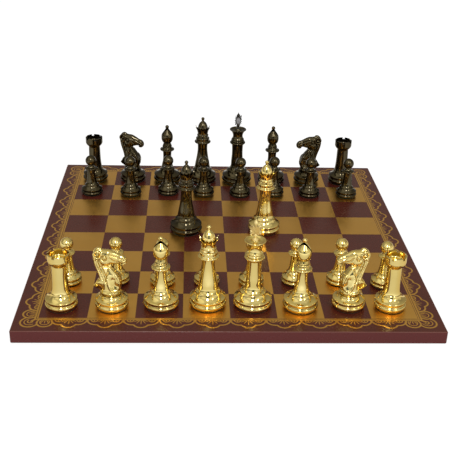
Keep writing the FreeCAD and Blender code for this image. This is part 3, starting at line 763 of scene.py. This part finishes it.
def spun(bm, profile):
    """A turned piece from its radii and heights, both ends on the axis."""
    low = bm.verts.new((0, 0, profile[0][1]))
    high = bm.verts.new((0, 0, profile[-1][1]))
    rings = []
    for radius, z in profile[1:-1]:
        turns = [2 * math.pi * i / TURNED_POINTS for i in range(TURNED_POINTS)]
        rings.append([bm.verts.new((radius * math.cos(a), radius * math.sin(a), z)) for a in turns])
    for i in range(TURNED_POINTS):
        j = (i + 1) % TURNED_POINTS
        bm.faces.new((low, rings[0][j], rings[0][i]))
        bm.faces.new((high, rings[-1][i], rings[-1][j]))
        for below, above in zip(rings, rings[1:]):
            bm.faces.new((below[i], below[j], above[j], above[i]))


def knurled_plate(bm, low, high, half, pyramid, squareness):
    """An upright plate with rounded corners, a toothed edge, and rows of small pyramids on both faces."""
    middle = (low + high) / 2
    tall = (high - low) / 2
    count = CROSS_CELLS + 1
    faces = {}
    for face in (-1, 1):
        grid = {}
        for i in range(count):
            for j in range(count):
                u, v = 2 * i / CROSS_CELLS - 1, 2 * j / CROSS_CELLS - 1
                point = 1 if (i + j) % 2 else -1
                reach = max(abs(u), abs(v))
                rounded = reach / (abs(u) ** squareness + abs(v) ** squareness) ** (1 / squareness)
                rim = reach == 1
                out = 1 + CROSS_TOOTH * point / half if rim else 1.0
                thick = PLATE_RIM if rim else PLATE_MIDDLE - PLATE_FALL * reach ** 2 + pyramid * point
                grid[i, j] = bm.verts.new((u * rounded * out * half, face * thick,
                                           middle + v * rounded * out * tall))
        for i in range(CROSS_CELLS):
            for j in range(CROSS_CELLS):
                bm.faces.new((grid[i, j], grid[i + 1, j], grid[i + 1, j + 1], grid[i, j + 1]))
        last = CROSS_CELLS
        rim = ([(i, 0) for i in range(last)] + [(last, j) for j in range(last)]
               + [(i, last) for i in range(last, 0, -1)] + [(0, j) for j in range(last, 0, -1)])
        faces[face] = [grid[key] for key in rim]
    for a, b in zip(range(len(rim)), [*range(1, len(rim)), 0]):
        bm.faces.new((faces[-1][a], faces[-1][b], faces[1][b], faces[1][a]))


def king_crosses():
    """A cross on each king, in place of its CAD cross."""
    for side in SIDES:
        bm = bmesh.new()
        knurled_plate(bm, *CROSS_PLATES[side])
        plate_faces = len(bm.faces)
        spun(bm, CROSS_STEM)
        spun(bm, CROSS_FINIAL)
        data = mesh_from(side + "_cross_shape", bm)
        for face in data.polygons[plate_faces:]:
            face.use_smooth = True
        low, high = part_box(side + "_king_cross")
        foot = Matrix.Translation(((low.x + high.x) / 2, (low.y + high.y) / 2, high.z - CROSS_HEIGHT))
        data.transform(foot @ Matrix.Diagonal((MM, MM, MM, 1.0)))
        piece = new_piece(side + "_cross", data, FROSTED[side], side + "_king")
        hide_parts(side + "_king_cross")


king_crosses()


# ------------------------------------------------------------------- studio

WHITE = (1, 1, 1, 1)
DAYLIGHT = (0.68, 0.68, 0.68, 1)
ROOM_BACK = (0.33, 0.31, 0.27, 1)
ROOM_FRONT = (0.42, 0.38, 0.26, 1)
ROOM_ABOVE = (0.62, 0.57, 0.38, 1)
WINDOW = (1.0, 0.94, 0.76, 1)
WINDOW_DIRECTION = (-0.05, -0.70, 0.71)
THINGS_DARK = (0.10, 0.09, 0.065, 1)
THINGS_BRIGHT = (1.05, 0.98, 0.76, 1)
DOORWAY = (0.12, 0.13, 0.13, 1)
FLOOR_SIZE = 6.0
FLOOR_LEVEL = -0.2 * MM
FLOOR_PAPERS = (0.80, 0.80, 0.80, 1), (0.84, 0.84, 0.84, 1)
FLOOR_SHADOWED = (0.26, 0.26, 0.26, 1)
FLOOR_NEAR_PAINTED_SHADE = (0.58, 0.52, 0.37, 1)
FLOOR_FAR = (1.0, 0.99, 0.93, 1)
FLOOR_GLOW = 0.84
CAMERA_PLACE = (-0.0442, -0.9593, 0.4939)
CAMERA_TURN = (63.763, -1.598, -2.217)
CAMERA_LENS = 66.68


def mirror_rays(s):
    """1 for the rays that reach what a mirror or a glass shows."""
    rays = s.node("ShaderNodeLightPath").outputs
    return s.math("MAXIMUM", rays["Is Glossy Ray"], rays["Is Transmission Ray"])


def camera_rays(s):
    return s.node("ShaderNodeLightPath").outputs["Is Camera Ray"]


def studio_world():
    """White to the camera, even daylight on the set, and a graded room in its reflections."""
    s = Shader("studio", of_world=True)
    bpy.context.scene.world = s.owner
    front = s.spread(s.axis("Y"), 0.3, -0.5, shape="SMOOTHSTEP")
    room = s.mix(front, ROOM_BACK, ROOM_FRONT)
    room = s.mix(s.spread(s.axis("Z"), 0.45, 0.95), room, ROOM_ABOVE)
    toward = s.node("ShaderNodeVectorMath", {"operation": "DOT_PRODUCT"})
    s.feed(toward.inputs[0], s.place)
    toward.inputs[1].default_value = WINDOW_DIRECTION
    glow = s.spread(toward.outputs["Value"], 0.35, 1.0, shape="SMOOTHSTEP")
    room = s.mix(glow, room, WINDOW)
    patches = s.spread(s.noise(1.7, 1.0, 0.5), 0.42, 0.58, shape="SMOOTHSTEP")
    things = s.mix(patches, THINGS_DARK, THINGS_BRIGHT)
    room = s.mix(s.spread(s.axis("Y"), 0.55, 0.20, 0.0, 0.40), room, things)
    aside = s.math("ABSOLUTE", s.axis("X"), 0.0)
    doorway = s.math("MULTIPLY", s.spread(aside, 0.30, 0.20), s.spread(s.axis("Z"), 0.62, 0.50))
    room = s.mix(s.math("MULTIPLY", doorway, front), room, DOORWAY)
    seen = s.mix(mirror_rays(s), DAYLIGHT, room)
    seen = s.mix(camera_rays(s), seen, WHITE)
    backdrop = s.node("ShaderNodeBackground", Color=seen, Strength=1.0)
    s.node("ShaderNodeOutputWorld", Surface=backdrop.outputs[0])


def floor_material():
    """White paper with a faint shadow of the board, and painted shade beside the board in reflections."""
    s = Shader("white_floor")
    tooth = s.noise(60.0, 3.0)
    paper = s.node("ShaderNodeBsdfDiffuse", Color=s.mix(tooth, *FLOOR_PAPERS))
    faint = s.node("ShaderNodeBsdfDiffuse", Color=FLOOR_SHADOWED)
    # Painted shade: what mirrors show of the floor is darker near the board.
    mirrored = s.mix(s.spread(s.square_reach(), 0.27, 0.62), FLOOR_NEAR_PAINTED_SHADE, FLOOR_FAR)
    glow = s.node("ShaderNodeEmission", Color=s.mix(camera_rays(s), mirrored, WHITE), Strength=FLOOR_GLOW)
    white = s.node("ShaderNodeAddShader")
    s.feed(white.inputs[0], faint.outputs[0])
    s.feed(white.inputs[1], glow.outputs[0])
    seen = s.math("MAXIMUM", camera_rays(s), mirror_rays(s))
    return s.finish(s.mix_surfaces(seen, paper.outputs[0], white.outputs[0]))


def floor():
    bm = bmesh.new()
    bmesh.ops.create_grid(bm, x_segments=8, y_segments=8, size=FLOOR_SIZE)
    thing = bpy.data.objects.new("floor", mesh_from("floor", bm))
    bpy.context.scene.collection.objects.link(thing)
    thing.location.z = FLOOR_LEVEL
    dress(thing, floor_material())


def strip_light(name, azimuth, elevation, distance, width, tall, radiance, colour):
    """A soft box aimed at the board. Azimuth 90 is its right hand side, and a mirror shows the radiance."""
    data = bpy.data.lights.new(name, "AREA")
    data.shape = "RECTANGLE"
    data.size = width
    data.size_y = tall
    data.color = colour
    data.energy = radiance * math.pi * width * tall
    lamp = bpy.data.objects.new(name, data)
    a, e = math.radians(azimuth), math.radians(elevation)
    lamp.location = Vector((math.sin(a) * math.cos(e), -math.cos(a) * math.cos(e), math.sin(e))) * distance
    lamp.rotation_euler = (-lamp.location).to_track_quat("-Z", "Y").to_euler()
    bpy.context.scene.collection.objects.link(lamp)


def camera():
    """The camera, where the corners of the board and of the squares fall as in the photograph."""
    data = bpy.data.cameras.new("camera")
    data.sensor_width = 36.0
    data.lens = CAMERA_LENS
    thing = bpy.data.objects.new("camera", data)
    thing.location = CAMERA_PLACE
    thing.rotation_euler = [math.radians(a) for a in CAMERA_TURN]
    bpy.context.scene.collection.objects.link(thing)
    bpy.context.scene.camera = thing


studio_world()
floor()
strip_light("key_light", azimuth=-4, elevation=48, distance=2.6, width=0.34, tall=1.3, radiance=12.0,
            colour=(1.0, 0.99, 0.97))
strip_light("side_light", azimuth=40, elevation=40, distance=2.6, width=0.20, tall=0.9, radiance=8.0,
            colour=(1.0, 0.95, 0.80))
camera()
bpy.context.scene.view_settings.view_transform = "Standard"
